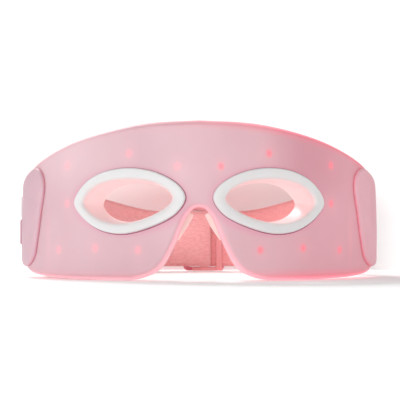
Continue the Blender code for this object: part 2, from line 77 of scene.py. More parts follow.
# Strap
STRAP_RADIUS = 87.5
STRAP_Y = FRONT_Y + 76.0
STRAP_WIDTH = 34.0
STRAP_MID_Z = 19.8
STRAP_RISE = 8.4
STRAP_LOW = STRAP_MID_Z - STRAP_WIDTH / 2
STRAP_HIGH = STRAP_MID_Z + STRAP_WIDTH / 2
SLIDER_WIDTH = 25.0
SLIDER_HEIGHT = 39.6
SLIDER_S = 2.7

VISOR_HALF = [
    (0, 77.4), (30, 75.9), (62, 70.1), (91, 62.0), (110, 56.4), (122, 52.0), (131.3, 45.6), (134, 35),
    (134, 24), (131, 12.5), (123, 5.8), (112, 2.9), (90, 0.9), (62, 0), (34, 0), (20.3, 5.2),
    (12.8, 16.5), (8.9, 25.4), (5.8, 31.6), (2.4, 34.9), (0, 35.4),
]
RING_OUTER = [
    (64.7, 37.6), (60, 45.8), (50, 52), (35, 54.4), (20, 51.7), (9.5, 45.4), (6.6, 39.6), (11, 32.2),
    (22, 26.1), (37.5, 22.3), (50, 24.4), (60, 30.9),
]
RING_INNER = [
    (59, 37.8), (54.6, 44), (46, 47.6), (33.5, 48.6), (21.5, 46.6), (15, 42.6), (13.2, 39.2), (16.2, 35.4),
    (25, 30.6), (37, 27.8), (47.5, 29), (55.6, 33.2),
]
RING_THROAT = [
    (56.2, 37.2), (52.4, 42.2), (45, 46.2), (33.5, 47.4), (21.8, 45.7), (15.5, 42.2), (13.7, 39.1),
    (16.6, 35.7), (25.2, 31.1), (37, 28.3), (46.8, 29.5), (53.4, 33),
]
COVER_OUTLINE = [
    (88.4, 46), (90.4, 52.4), (96.5, 56.2), (108, 54), (119.5, 49.6), (127.6, 42.5), (130.8, 32),
    (130, 18.8), (124.6, 9.8), (115, 5.8), (105.2, 6.4), (98, 10.8), (94, 20), (90.8, 33),
]
LED_SPOTS = [(71.2, 56.6), (35, 61.4), (10.6, 54.9), (70.2, 37.5), (76, 14.4), (52.6, 15.4), (29.8, 14.5)]
SCREW_SPOTS = [(87.2, 24), (87.2, 48)]


# ---------------------------------------------------------------- outlines

def spline(points, steps, closed=True):
    """Centripetal Catmull-Rom curve through the points, with so many steps on each span."""
    pts = [np.array(p, float) for p in points]
    count = len(pts)
    out = []
    for i in range(count if closed else count - 1):
        if closed:
            p0, p1, p2, p3 = (pts[(i + k) % count] for k in (-1, 0, 1, 2))
        else:
            p1, p2 = pts[i], pts[i + 1]
            p0 = pts[i - 1] if i > 0 else 2 * p1 - p2
            p3 = pts[i + 2] if i + 2 < count else 2 * p2 - p1
        k1 = math.sqrt(np.linalg.norm(p1 - p0))
        k2 = k1 + math.sqrt(np.linalg.norm(p2 - p1))
        k3 = k2 + math.sqrt(np.linalg.norm(p3 - p2))
        for step in range(steps):
            t = k1 + (k2 - k1) * step / steps
            a1 = (k1 - t) / k1 * p0 + t / k1 * p1
            a2 = (k2 - t) / (k2 - k1) * p1 + (t - k1) / (k2 - k1) * p2
            a3 = (k3 - t) / (k3 - k2) * p2 + (t - k2) / (k3 - k2) * p3
            b1 = (k2 - t) / k2 * a1 + t / k2 * a2
            b2 = (k3 - t) / (k3 - k1) * a2 + (t - k1) / (k3 - k1) * a3
            out.append((k2 - t) / (k2 - k1) * b1 + (t - k1) / (k2 - k1) * b2)
    if not closed:
        out.append(pts[-1])
    return np.array(out)


def area(loop):
    x, z = loop[:, 0], loop[:, 1]
    return 0.5 * float(np.sum(x * np.roll(z, -1) - np.roll(x, -1) * z))


def inset(loop, amount):
    edge = np.roll(loop, -1, axis=0) - loop
    edge = edge / np.maximum(np.linalg.norm(edge, axis=1), 1e-9)[:, None]
    inward = np.stack([-edge[:, 1], edge[:, 0]], axis=1)
    if area(loop) < 0:
        inward = -inward
    corner = inward + np.roll(inward, 1, axis=0)
    corner = corner / np.sum(corner * inward, axis=1)[:, None]
    return loop + amount * corner


def visor_outline(amount=0.0, steps=8):
    half = spline(VISOR_HALF, steps, closed=False)
    left = half[1:-1][::-1] * np.array([-1.0, 1.0])
    loop = np.concatenate([half, left])
    loop[:, 1] = np.maximum(loop[:, 1], 0.0)
    return inset(loop, amount)


def eye_outline(side, amount=0.0, steps=8):
    return inset(spline(RING_INNER, steps), amount) * np.array([side, 1.0])


def rounded_box(width, height, radius, centre=(0, 0), arc=8):
    loop = []
    for quarter in range(4):
        sx = (1, -1, -1, 1)[quarter]
        sz = (1, 1, -1, -1)[quarter]
        for step in range(arc + 1):
            angle = math.pi / 2 * (quarter + step / arc)
            loop.append((centre[0] + sx * (width / 2 - radius) + radius * math.cos(angle),
                         centre[1] + sz * (height / 2 - radius) + radius * math.sin(angle)))
    return np.array(loop)


def circle(radius, centre=(0, 0), count=32):
    angles = np.arange(count) * 2 * math.pi / count
    return np.stack([centre[0] + radius * np.cos(angles), centre[1] + radius * np.sin(angles)], axis=1)


# ---------------------------------------------------------------- solids

def finish_mesh(bm, name):
    bmesh.ops.recalc_face_normals(bm, faces=bm.faces)
    mesh = bpy.data.meshes.new(name)
    bm.to_mesh(mesh)
    bm.free()
    obj = bpy.data.objects.new(name, mesh)
    bpy.context.collection.objects.link(obj)
    return obj


def skin(name, sections, ring=True):
    """A solid through sections, each a closed list of points. A ring joins up, and the rest gets end caps."""
    bm = bmesh.new()
    loops = [[bm.verts.new(tuple(p)) for p in section] for section in sections]
    pairs = list(zip(loops, loops[1:]))
    if ring:
        pairs.append((loops[-1], loops[0]))
    for a, b in pairs:
        for k in range(len(a)):
            m = (k + 1) % len(a)
            bm.faces.new((a[k], a[m], b[m], b[k]))
    if not ring:
        bm.faces.new(loops[0])
        bm.faces.new(loops[-1])
    return finish_mesh(bm, name)


def plate(name, loop, near, far, round_near=0.0, round_far=0.0, segments=5):
    """A plate from y = near to y = far with the outline in x and z and quarter-round outline edges."""
    sections = []

    def ring(amount, depth):
        sections.append([(p[0], depth, p[1]) for p in inset(loop, amount)])

    if round_near > 0:
        for step in range(segments + 1):
            angle = math.pi / 2 * step / segments
            ring(round_near * (1 - math.sin(angle)), near + round_near * (1 - math.cos(angle)))
    else:
        ring(0.0, near)
    if round_far > 0:
        for step in range(segments + 1):
            angle = math.pi / 2 * step / segments
            ring(round_far * (1 - math.cos(angle)), far - round_far * (1 - math.sin(angle)))
    else:
        ring(0.0, far)
    return skin(name, sections, ring=False)


def block(name, low, high, bevel=0.0, segments=3):
    bm = bmesh.new()
    bmesh.ops.create_cube(bm, size=1.0)
    for v in bm.verts:
        v.co = [low[k] + (v.co[k] + 0.5) * (high[k] - low[k]) for k in range(3)]
    if bevel > 0:
        bmesh.ops.bevel(bm, geom=bm.edges[:], offset=bevel, segments=segments, profile=0.5, affect='EDGES')
    return finish_mesh(bm, name)


def rod(name, radius, low, high, centre=(0, 0), count=24):
    bm = bmesh.new()
    bmesh.ops.create_cone(bm, cap_ends=True, segments=count, radius1=radius, radius2=radius, depth=high - low)
    bmesh.ops.translate(bm, verts=bm.verts, vec=(centre[0], centre[1], (low + high) / 2))
    return finish_mesh(bm, name)


def boolean(obj, others, operation):
    for other in others:
        mod = obj.modifiers.new("shape", 'BOOLEAN')
        mod.operation = operation
        mod.solver = 'EXACT'
        mod.object = other
        bpy.context.view_layer.update()
        evaluated = obj.evaluated_get(bpy.context.evaluated_depsgraph_get())
        shaped = bpy.data.meshes.new_from_object(evaluated)
        obj.modifiers.clear()
        obj.data = shaped
    for other in others:
        bpy.data.objects.remove(other, do_unlink=True)
    return obj


def cut(obj, *others):
    return boolean(obj, others, 'DIFFERENCE')


def join(obj, *others):
    return boolean(obj, others, 'UNION')


# ---------------------------------------------------------------- bending

SWEEP = np.linspace(0.0, math.pi / 2, 1501)
SPEED = np.hypot(HALF_WIDTH * np.cos(SWEEP), SWEEP_DEPTH * np.sin(SWEEP))
ARC = np.concatenate([[0.0], np.cumsum((SPEED[1:] + SPEED[:-1]) / 2 * np.diff(SWEEP))])


def on_visor(u, d, z):
    side = 1.0 if u >= 0 else -1.0
    angle = float(np.interp(abs(u), ARC, SWEEP))
    past = max(abs(u) - float(ARC[-1]), 0.0)
    rise = (z - MID_Z) / MID_Z
    grow = 1.0 - LEAN * (z - MID_Z) - CROWN * rise * rise
    x = HALF_WIDTH * grow * math.sin(angle)
    y = FRONT_Y + SWEEP_DEPTH * (1.0 - grow * math.cos(angle)) + past
    normal = Vector((SWEEP_DEPTH * math.sin(angle), -HALF_WIDTH * math.cos(angle))).normalized()
    return Vector((side * (x - d * normal.x), y - d * normal.y, z))


def on_strap(s, r, z):
    quarter = STRAP_RADIUS * math.pi / 2
    along = min(abs(s), quarter)
    angle = along / STRAP_RADIUS
    t = min(max((math.degrees(angle) - 15.5) / 36.0, 0.0), 1.0)
    lift = STRAP_RISE * t * t * (3 - 2 * t)
    radius = STRAP_RADIUS + r
    side = 1.0 if s >= 0 else -1.0
    y = STRAP_Y + radius * math.cos(angle) - (abs(s) - along)
    return Vector((side * radius * math.sin(angle), y, z + lift))


def slider_place(s, r, z):
    return on_strap(s + SLIDER_S, r, z)


def slice_mesh(obj, axis, positions):
    bm = bmesh.new()
    bm.from_mesh(obj.data)
    normal = Vector((axis == 0, axis == 1, axis == 2))
    for position in positions:
        geom = bm.verts[:] + bm.edges[:] + bm.faces[:]
        bmesh.ops.bisect_plane(bm, geom=geom, dist=1e-4, plane_co=normal * position, plane_no=normal)
    bmesh.ops.triangulate(bm, faces=[f for f in bm.faces if len(f.verts) > 4])
    bm.to_mesh(obj.data)
    bm.free()


def keep_flat(obj):
    """Store the flat coordinates, in millimetres, for the materials."""
    flat = obj.data.attributes.new("flat", 'FLOAT_VECTOR', 'POINT')
    for v, item in zip(obj.data.vertices, flat.data):
        item.vector = v.co


def bend(obj, place, x_step=None, z_step=None):
    low = [min(v.co[k] for v in obj.data.vertices) for k in range(3)]
    high = [max(v.co[k] for v in obj.data.vertices) for k in range(3)]
    if x_step:
        first = math.ceil(low[0] / x_step) * x_step
        slice_mesh(obj, 0, [float(p) for p in np.arange(first, high[0], x_step)])
    if z_step:
        first = math.ceil(low[2] / z_step) * z_step
        slice_mesh(obj, 2, [float(p) for p in np.arange(first, high[2], z_step)])
    keep_flat(obj)
    for v in obj.data.vertices:
        v.co = place(*v.co) * MM
    return obj


def seat_frame(u, d, z):
    origin = on_visor(u, d, z)
    along = (on_visor(u + 0.5, d, z) - on_visor(u - 0.5, d, z)).normalized()
    up = Vector((0, 0, 1))
    placed = Matrix((along, up.cross(along), up)).transposed().to_4x4()
    placed.translation = origin
    return placed


def seat(obj, u, d, z):
    placed = seat_frame(u, d, z)
    keep_flat(obj)
    for v in obj.data.vertices:
        v.co = (placed @ v.co) * MM
    return obj


def smooth(obj, angle=38.0, weighted=True):
    obj.data.polygons.foreach_set("use_smooth", [True] * len(obj.data.polygons))
    obj.data.set_sharp_from_angle(angle=math.radians(angle))
    if weighted:
        mod = obj.modifiers.new("even_normals", 'WEIGHTED_NORMAL')
        mod.keep_sharp = True
        mod.weight = 80
    return obj


# ---------------------------------------------------------------- materials

class Look:
    """A material under construction, with short calls for the nodes it needs."""

    def __init__(self, name, roughness=0.4, metallic=0.0, **sockets):
        self.material = bpy.data.materials.new(name)
        self.material.use_nodes = True
        self.tree = self.material.node_tree
        self.shader = self.tree.nodes["Principled BSDF"]
        self.shader.inputs["Roughness"].default_value = roughness
        self.shader.inputs["Metallic"].default_value = metallic
        for key, value in sockets.items():
            self.shader.inputs[key.replace("_", " ")].default_value = value

    def put(self, socket, value):
        if isinstance(value, bpy.types.NodeSocket):
            self.tree.links.new(value, socket)
        elif isinstance(value, tuple) and len(value) == 3 and socket.type == 'RGBA':
            socket.default_value = (*value, 1.0)
        else:
            socket.default_value = value

    def set(self, **sockets):
        for key, value in sockets.items():
            self.put(self.shader.inputs[key.replace("_", " ")], value)
        return self

    def flat(self):
        node = self.tree.nodes.new("ShaderNodeAttribute")
        node.attribute_name = "flat"
        return node.outputs["Vector"]

    def place(self):
        return self.tree.nodes.new("ShaderNodeTexCoord").outputs["Object"]

    def split(self, vector):
        node = self.tree.nodes.new("ShaderNodeSeparateXYZ")
        self.put(node.inputs[0], vector)
        return node.outputs[0], node.outputs[1], node.outputs[2]

    def join(self, x, y, z):
        node = self.tree.nodes.new("ShaderNodeCombineXYZ")
        for socket, value in zip(node.inputs, (x, y, z)):
            self.put(socket, value)
        return node.outputs[0]

    def math(self, operation, *values, clamp=False):
        node = self.tree.nodes.new("ShaderNodeMath")
        node.operation = operation
        node.use_clamp = clamp
        for socket, value in zip(node.inputs, values):
            self.put(socket, value)
        return node.outputs[0]

    def vector(self, operation, *values):
        node = self.tree.nodes.new("ShaderNodeVectorMath")
        node.operation = operation
        for socket, value in zip(node.inputs, values):
            self.put(socket, value)
        return node.outputs["Value"] if operation in ('DISTANCE', 'LENGTH') else node.outputs["Vector"]

    def ramp(self, value, start, end, low=0.0, high=1.0):
        node = self.tree.nodes.new("ShaderNodeMapRange")
        node.interpolation_type = 'SMOOTHSTEP'
        for key, item in (("Value", value), ("From Min", start), ("From Max", end), ("To Min", low),
                          ("To Max", high)):
            self.put(node.inputs[key], item)
        return node.outputs["Result"]

    def noise(self, vector, scale, detail=3.0, rough=0.5):
        node = self.tree.nodes.new("ShaderNodeTexNoise")
        self.put(node.inputs["Vector"], vector)
        node.inputs["Scale"].default_value = scale
        node.inputs["Detail"].default_value = detail
        node.inputs["Roughness"].default_value = rough
        return node.outputs["Fac"]

    def mix(self, share, first, second, blend='MIX'):
        node = self.tree.nodes.new("ShaderNodeMix")
        node.data_type = 'RGBA'
        node.blend_type = blend
        self.put(node.inputs["Factor"], share)
        self.put(node.inputs[6], first)
        self.put(node.inputs[7], second)
        return node.outputs[2]

    def bump(self, height, strength, distance):
        node = self.tree.nodes.new("ShaderNodeBump")
        node.inputs["Strength"].default_value = strength
        node.inputs["Distance"].default_value = distance
        self.put(node.inputs["Height"], height)
        self.put(self.shader.inputs["Normal"], node.outputs["Normal"])
        return self


def spots(look, spread, soft):
    """1 at each light and 0 away from it, over both halves of the mask."""
    u, d, z = look.split(look.flat())
    here = look.join(look.math('MULTIPLY', look.math('ABSOLUTE', u), 1.2), 0.0, z)
    total = None
    for led_u, led_z in LED_SPOTS:
        away = look.vector('DISTANCE', here, (led_u * 1.2, 0.0, led_z))
        spot = look.ramp(away, spread, spread + soft, 1.0, 0.0)
        total = spot if total is None else look.math('MAXIMUM', total, spot)
    return total


def shell_look():
    """Frosted pink plastic with painted light from inside: a painted glow spot at each light, painted red
    glow on the edges, and painted shade that darkens the right half.
    """
    look = Look("shell_pink", roughness=0.5, Subsurface_Weight=0.22, Subsurface_Scale=0.004, Coat_Weight=0.05,
                Coat_Roughness=0.3)
    look.shader.inputs["Subsurface Radius"].default_value = (1.0, 0.45, 0.45)
    u, d, z = look.split(look.flat())
    cloudy = look.noise(look.flat(), 0.045, 2.0)
    grain = look.noise(look.flat(), 3.4, 2.0)
    base = look.mix(look.ramp(cloudy, 0.3, 0.7), (0.575, 0.390, 0.430), (0.600, 0.415, 0.455))
    base = look.mix(look.ramp(grain, 0.2, 0.8, 0.0, 0.12), base, (0.57, 0.37, 0.42))
    side_u = look.math('ABSOLUTE', u)

    # A painted magenta glow round each eye ring, then painted shade and light over the visor
    ring_u = look.math('DIVIDE', look.math('SUBTRACT', side_u, 35.6), 29.2)
    ring_z = look.math('DIVIDE', look.math('SUBTRACT', z, 38.2), 16.1)
    ring_edge = look.vector('LENGTH', look.join(ring_u, ring_z, 0.0))
    ring_glow_halo = look.ramp(ring_edge, 0.96, 1.16, 0.55, 0.0)
    base = look.mix(ring_glow_halo, base, (0.62, 0.30, 0.40))
    # Painted shade: the right half darker, and darkest in a band on its upper part
    right = look.ramp(u, 25.0, 80.0)
    base = look.mix(look.math('MULTIPLY', right, 0.60), base, (0.54, 0.305, 0.360))
    high_right = look.math('MULTIPLY', look.ramp(u, 28.0, 58.0), look.ramp(u, 66.0, 92.0, 1.0, 0.3))
    high_right = look.math('MULTIPLY', high_right, look.ramp(z, 30.0, 58.0, 0.15, 1.0))
    base = look.mix(look.math('MULTIPLY', high_right, 0.75), base, (0.44, 0.225, 0.270))
    # Painted light: the upper left lighter
    high_left = look.math('MULTIPLY', look.ramp(u, -20.0, -70.0), look.ramp(z, 40.0, 60.0))
    base = look.mix(look.math('MULTIPLY', high_left, 0.6), base, (0.665, 0.485, 0.520))

    # Painted glow of the lights through the shell, stronger on the right
    core = spots(look, 0.2, 2.8)
    strong = look.ramp(u, -8.0, 18.0, 0.18, 0.72)
    base = look.mix(look.math('MULTIPLY', core, strong), base, (0.62, 0.15, 0.19))
    halo = spots(look, 0.0, 9.0)

    # Painted red glow on the rounded rim, the top edge, the foot of each lobe and a faint band beside each
    # temple cover
    rim = look.math('MULTIPLY', look.ramp(d, 0.0, 1.0), look.ramp(d, 3.0, 8.0, 1.0, 0.45))
    rim = look.math('MULTIPLY', rim, look.ramp(z, 30.0, 50.0, 1.0, look.ramp(u, -20.0, 50.0, 0.25, 0.90)))
    crest = look.math('SUBTRACT', 77.4, look.math('MULTIPLY', look.math('MULTIPLY', u, u), 0.00187))
    crest = look.ramp(look.math('SUBTRACT', crest, z), 0.2, 5.5, 1.0, 0.0)
    crest = look.math('MULTIPLY', crest, look.ramp(u, -30.0, 45.0, 0.12, 1.0))
    foot = look.math('MULTIPLY', look.ramp(z, 0.4, 6.5, 1.0, 0.0), look.ramp(u, 0.0, 60.0, 0.30, 1.0))
    edge = look.math('MAXIMUM', crest, foot)
    band = look.ramp(look.math('ABSOLUTE', look.math('SUBTRACT', side_u, 84.5)), 0.2, 3.8, 1.0, 0.0)
    tall = look.ramp(look.math('ABSOLUTE', look.math('SUBTRACT', z, 20.0)), 2.0, 18.0, 1.0, 0.0)
    edge_red = look.math('MULTIPLY', rim, look.ramp(u, -30.0, 60.0, 0.15, 0.60))
    edge_red = look.math('MAXIMUM', edge_red, look.math('MULTIPLY', edge, 0.62))
    base = look.mix(edge_red, base, (0.66, 0.19, 0.25))

    # The painted glow: the lights, the rim, the edges and the bands, over an even glow that grows towards the
    # right
    glow = look.math('ADD', look.math('MULTIPLY', core, 0.26), look.math('MULTIPLY', halo, 0.05))
    glow = look.math('ADD', glow, look.math('MULTIPLY', rim, 0.36))
    glow = look.math('ADD', glow, look.math('MULTIPLY', look.math('MULTIPLY', band, tall), 0.05))
    glow = look.math('ADD', glow, look.math('MULTIPLY', edge, 0.10))
    glow = look.math('ADD', glow, look.ramp(u, -60.0, 125.0, 0.03, 0.17))
    rim_tint = look.mix(look.ramp(u, 0.0, 70.0), (1.0, 0.42, 0.47), (1.0, 0.26, 0.32))
    tint = look.mix(rim, (1.0, 0.10, 0.13), rim_tint)
    look.set(Base_Color=base, Emission_Color=tint, Emission_Strength=glow)
    look.set(Roughness=look.ramp(grain, 0.2, 0.8, 0.46, 0.54))
    return look.bump(grain, 0.10, 0.00010).material


def cover_look(name, dark, pale, left_glow, right_glow):
    """Satin plastic with painted shade and glow: darker and redder where the edge meets the shell, and a
    painted glow that grows from left_glow to right_glow across the mask.
    """
    look = Look(name, roughness=0.48, Subsurface_Weight=0.15, Subsurface_Scale=0.003, Coat_Weight=0.04,
                Coat_Roughness=0.35)
    grain = look.noise(look.flat(), 3.0, 2.0)
    u, d, z = look.split(look.flat())
    base = look.mix(look.ramp(look.noise(look.flat(), 0.06), 0.3, 0.7), dark, pale)
    # Painted shadow in the seam where the edge meets the shell, reddened by the lights' glow
    base = look.mix(look.ramp(d, -1.15, -0.45, 0.0, 0.75), base, (0.56, 0.21, 0.29))
    # Painted glow, more at the seam
    glow = look.ramp(u, -60.0, 125.0, left_glow, right_glow)
    glow = look.math('ADD', glow, look.ramp(d, -1.2, -0.5, 0.0, 0.10))
    look.set(Base_Color=base, Roughness=look.ramp(grain, 0.2, 0.8, 0.44, 0.52))
    look.set(Emission_Color=(1.0, 0.12, 0.15), Emission_Strength=glow)
    return look.bump(grain, 0.08, 0.00008).material


def button_look():
    look = Look("button_pink", roughness=0.42, Subsurface_Weight=0.2, Subsurface_Scale=0.002)
    grain = look.noise(look.flat(), 5.0, 2.0)
    look.set(Base_Color=look.mix(look.ramp(grain, 0.3, 0.7), (0.50, 0.28, 0.34), (0.55, 0.31, 0.37)))
    return look.bump(grain, 0.1, 0.00006).material


def silicone_look(name, tone, deep, glow):
    """Soft moulded silicone, tone outside and deep inside the eye tunnels, with a faint painted glow of the
    lights there.
    """
    look = Look(name, roughness=0.46, Subsurface_Weight=0.35, Subsurface_Scale=0.004, Sheen_Weight=0.12)
    look.shader.inputs["Subsurface Radius"].default_value = (1.0, 0.6, 0.55)
    u, d, z = look.split(look.flat())
    grain = look.noise(look.flat(), 4.2, 2.0)
    inside = look.ramp(d, -1.75, 0.9)
    base = look.mix(look.math('MULTIPLY', inside, 0.8), tone, deep)
    look.set(Base_Color=base, Roughness=look.ramp(grain, 0.2, 0.8, 0.42, 0.52))
    look.set(Emission_Color=(1.0, 0.46, 0.46), Emission_Strength=look.math('MULTIPLY', inside, glow))
    return look.bump(grain, 0.10, 0.00008).material


def liner_look():
    """The face-side plastic, with a painted warm glow round each light's window."""
    look = Look("liner_peach", roughness=0.38, Subsurface_Weight=0.25, Subsurface_Scale=0.004)
    grain = look.noise(look.flat(), 3.0, 2.0)
    halo = spots(look, 2.6, 7.0)
    base = look.mix(look.ramp(grain, 0.3, 0.7), (0.76, 0.43, 0.40), (0.80, 0.48, 0.44))
    look.set(Base_Color=base)
    look.set(Emission_Color=(1.0, 0.16, 0.10), Emission_Strength=look.math('MULTIPLY', halo, 0.6))
    return look.bump(grain, 0.08, 0.0001).material


def velour_look(name, deep, pale, coarse):
    """Brushed pile with strokes along the strap and a plain ribbed edge on each side."""
    look = Look(name, roughness=0.95, Sheen_Weight=0.9, Sheen_Roughness=0.42)
    look.shader.inputs["Sheen Tint"].default_value = (1.0, 0.80, 0.78, 1.0)
    flat = look.flat()
    s, r, z = look.split(flat)
    pile = look.noise(look.vector('MULTIPLY', flat, (0.80, 1.0, 1.0)), 2.6, 6.0, 0.66)
    strokes = look.noise(look.vector('MULTIPLY', flat, (0.30, 1.0, 1.1)), 1.0, 4.0, 0.6)
    fuzz = look.noise(flat, 9.0, 2.0)
    edge = look.ramp(look.math('ABSOLUTE', look.math('SUBTRACT', z, STRAP_MID_Z)), 15.2, 15.7)
    ribs = look.math('SINE', look.math('MULTIPLY', s, 7.5))
    tone = look.math('ADD', look.math('MULTIPLY', look.ramp(pile, 0.32, 0.68), 0.5 * coarse),
                     look.math('MULTIPLY', look.ramp(strokes, 0.34, 0.66), 0.5 * coarse))
    plain = look.math('ADD', 0.5 * (1 - coarse), look.ramp(fuzz, 0.3, 0.7, -0.12, 0.12))
    tone = look.math('ADD', tone, plain)
    tone = look.math('SUBTRACT', tone, look.math('MULTIPLY', edge, look.ramp(ribs, -1.0, 1.0, 0.05, 0.4)))
    look.set(Base_Color=look.mix(look.math('MAXIMUM', tone, 0.0), deep, pale))
    deep_pile = look.math('MULTIPLY', pile, 0.35 + 0.65 * coarse)
    rough = look.math('ADD', deep_pile, look.math('MULTIPLY', fuzz, 0.3))
    height = look.mix(edge, rough, look.math('MULTIPLY', ribs, 0.25))
    return look.bump(height, 0.75, 0.0005).material


def metal_look(name, tone, roughness):
    look = Look(name, roughness=roughness, metallic=1.0)
    place = look.vector('MULTIPLY', look.place(), (400.0, 400.0, 2600.0))
    brushed = look.noise(place, 1.0, 3.0)
    look.set(Base_Color=look.mix(look.ramp(brushed, 0.3, 0.7), tone, tuple(c * 0.82 for c in tone)))
    look.set(Roughness=look.ramp(brushed, 0.2, 0.8, roughness - 0.06, roughness + 0.1))
    return look.bump(brushed, 0.12, 0.00004).material


def plain_look(name, tone, shade, roughness, scale=900.0, **sockets):
    look = Look(name, roughness=roughness, **sockets)
    mottle = look.noise(look.place(), scale, 3.0)
    look.set(Base_Color=look.mix(look.ramp(mottle, 0.35, 0.65), tone, shade))
    look.set(Roughness=look.ramp(mottle, 0.2, 0.8, roughness - 0.05, roughness + 0.07))
    return look.bump(mottle, 0.12, 0.00005).material


def board_look(name, tone, trace, mask):
    """A circuit board: solder mask with fine copper lines showing through in patches."""
    look = Look(name, roughness=0.35, Coat_Weight=0.3, Coat_Roughness=0.12)
    x, y, z = look.split(look.place())
    wander = look.math('MULTIPLY', look.noise(look.place(), 160.0, 1.0), 0.004)
    lines = look.math('SINE', look.math('MULTIPLY', look.math('ADD', z, wander), 3400.0))
    copper = look.ramp(lines, 0.55, 0.8)
    area_mask = look.ramp(look.noise(look.place(), mask, 0.0), 0.46, 0.54)
    look.set(Base_Color=look.mix(look.math('MULTIPLY', copper, area_mask), tone, trace))
    return look.bump(copper, 0.15, 0.00005).material


def glow_look(name, tone, strength):
    look = Look(name, roughness=0.2)
    mottle = look.ramp(look.noise(look.place(), 1400.0, 2.0), 0.3, 0.7, 0.85, 1.1)
    look.set(Base_Color=(1.0, 0.45, 0.38), Emission_Color=tone,
             Emission_Strength=look.math('MULTIPLY', mottle, strength))
    return look.material


SHELL = shell_look()
# The covers glow faintly, more towards the right, and the slider glows evenly: both painted glow
COVER = cover_look("cover_pink", (0.545, 0.365, 0.415), (0.575, 0.390, 0.440), 0.03, 0.19)
SLIDER = cover_look("slider_pink", (0.72, 0.33, 0.35), (0.76, 0.36, 0.38), 0.03, 0.03)
BUTTON = button_look()
RING_WHITE = silicone_look("silicone_white", (0.662, 0.657, 0.657), (0.75, 0.58, 0.58), 0.20)
PORT_WHITE = silicone_look("port_white", (0.66, 0.60, 0.62), (0.66, 0.60, 0.62), 0.0)
CUSHION = silicone_look("cushion_peach", (0.87, 0.76, 0.73), (0.87, 0.71, 0.67), 0.02)
LINER = liner_look()
VELOUR = velour_look("velour", (0.76, 0.36, 0.37), (0.92, 0.60, 0.61), 0.8)
STRAP_FACE = velour_look("strap_face", (0.76, 0.30, 0.31), (0.94, 0.50, 0.51), 0.60)
STEEL = metal_look("steel", (0.66, 0.67, 0.69), 0.28)
FOIL = metal_look("battery_foil", (0.52, 0.54, 0.57), 0.34)
CHIP = plain_look("chip_black", (0.022, 0.022, 0.026), (0.035, 0.035, 0.04), 0.45)
PLUG_WHITE = plain_look("connector_white", (0.80, 0.79, 0.76), (0.74, 0.73, 0.70), 0.42)
WIRE_RED = plain_look("wire_red", (0.60, 0.02, 0.02), (0.50, 0.015, 0.015), 0.4)
WIRE_BLACK = plain_look("wire_black", (0.02, 0.02, 0.022), (0.035, 0.035, 0.04), 0.4)
BOARD_GREEN = board_look("board_green", (0.02, 0.16, 0.075), (0.10, 0.34, 0.16), 170.0)
POLYIMIDE = board_look("polyimide", (0.55, 0.23, 0.05), (0.80, 0.46, 0.20), 120.0)
LED_BODY = plain_look("led_body", (0.86, 0.84, 0.80), (0.80, 0.78, 0.73), 0.4)
# A dark material for the painted shadow under each eye ring's edge
GAP_SHADOW_DARK = plain_look("ring_gap_shadow", (0.36, 0.10, 0.17), (0.30, 0.08, 0.14), 0.6)
THREAD = plain_look("thread", (0.88, 0.42, 0.43), (0.80, 0.34, 0.35), 0.8, scale=2600.0, Sheen_Weight=0.5)
LED_LENS = glow_look("led_lens", (1.0, 0.13, 0.08), 20.0)


def dress(obj, material, body="mask", nodes=()):
    """Give a finished piece its material, tie it to its CAD body and let it stand for its CAD nodes."""
    obj.data.materials.clear()
    obj.data.materials.append(material)
    if body:
        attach(obj, body)
    if nodes:
        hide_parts(*nodes)
    return obj


# ---------------------------------------------------------------- housing

def eye_holes(amount, near=-4.0, far=16.0):
    return [plate("hole", eye_outline(side, -amount), near, far) for side in (-1, 1)]


def front_shell():
    shell = plate("shell", visor_outline(), 0.0, RIM_DEPTH, round_near=2.8, round_far=0.35, segments=8)
    cut(shell, plate("hollow", visor_outline(SKIN, 4), SKIN, RIM_DEPTH + 1))
    cut(shell, *eye_holes(TUNNEL_WALL + 0.3))
    cutters = []
    for side in (-1, 1):
        window = rounded_box(29, 34, 4, (side * 110.5, 30.5))
        cutters.append(plate("window", window, -1, SKIN + 0.2))
        cutters.append(block("slot", (side * 131.3 - 8.8, 2.9, 10.5), (side * 131.3 + 8.8, 8.2, 45.9), 0.5))
    cut(shell, *cutters)
    bend(shell, on_visor, 3.0, 5.0)
    smooth(shell)
    return dress(shell, SHELL, nodes=["front_shell"])


def inner_liner():
    liner = plate("liner", visor_outline(0.7), LINER_FRONT, LINER_BACK, round_far=0.7)
    cutters = eye_holes(TUNNEL_WALL + 0.3)
    for side in (-1, 1):
        for u, z in LED_SPOTS:
            cutters.append(plate("window", circle(3.0, (side * u, z)), 8, 12))
        for u, z in SCREW_SPOTS:
            cutters.append(plate("screw_hole", circle(1.2, (side * u, z), 16), 8, 12))
    cut(liner, *cutters)
    bend(liner, on_visor, 3.0, 6.0)
    smooth(liner)
    return dress(liner, LINER, nodes=["inner_liner"])


def eye_ring(name, side):
    outer = spline(RING_OUTER, 9)
    inner = spline(RING_INNER, 9)
    throat = spline(RING_THROAT, 9)
    wall = inset(inner, -TUNNEL_WALL)
    face = spline([(0.0, 2.4), (0.02, 0.9), (0.06, -0.2), (0.13, -0.95), (0.22, -1.42), (0.36, -1.70),
                   (0.52, -RING_PROUD), (0.84, -1.78), (0.94, -1.50), (0.985, -0.95), (1.0, -0.25)], 3,
                  closed=False)
    sections = []
    for a, b, w, c in zip(inner, outer, wall, throat):
        section = [(*(a + (b - a) * share), d) for share, d in face]
        section += [(*w, -0.2), (*w, TUNNEL_BACK - 0.5), (*(c + (w - c) * 0.6), TUNNEL_BACK),
                    (*c, TUNNEL_BACK - 0.5), (*(a + (c - a) * 0.78), 8.5), (*(a + (c - a) * 0.4), 4.6)]
        sections.append([(side * u, d, z) for u, z, d in section])
    ring = bend(skin(name, sections), on_visor)
    smooth(ring, 50)
    return dress(ring, RING_WHITE, nodes=["eye_ring_" + name.split("_")[-1]])


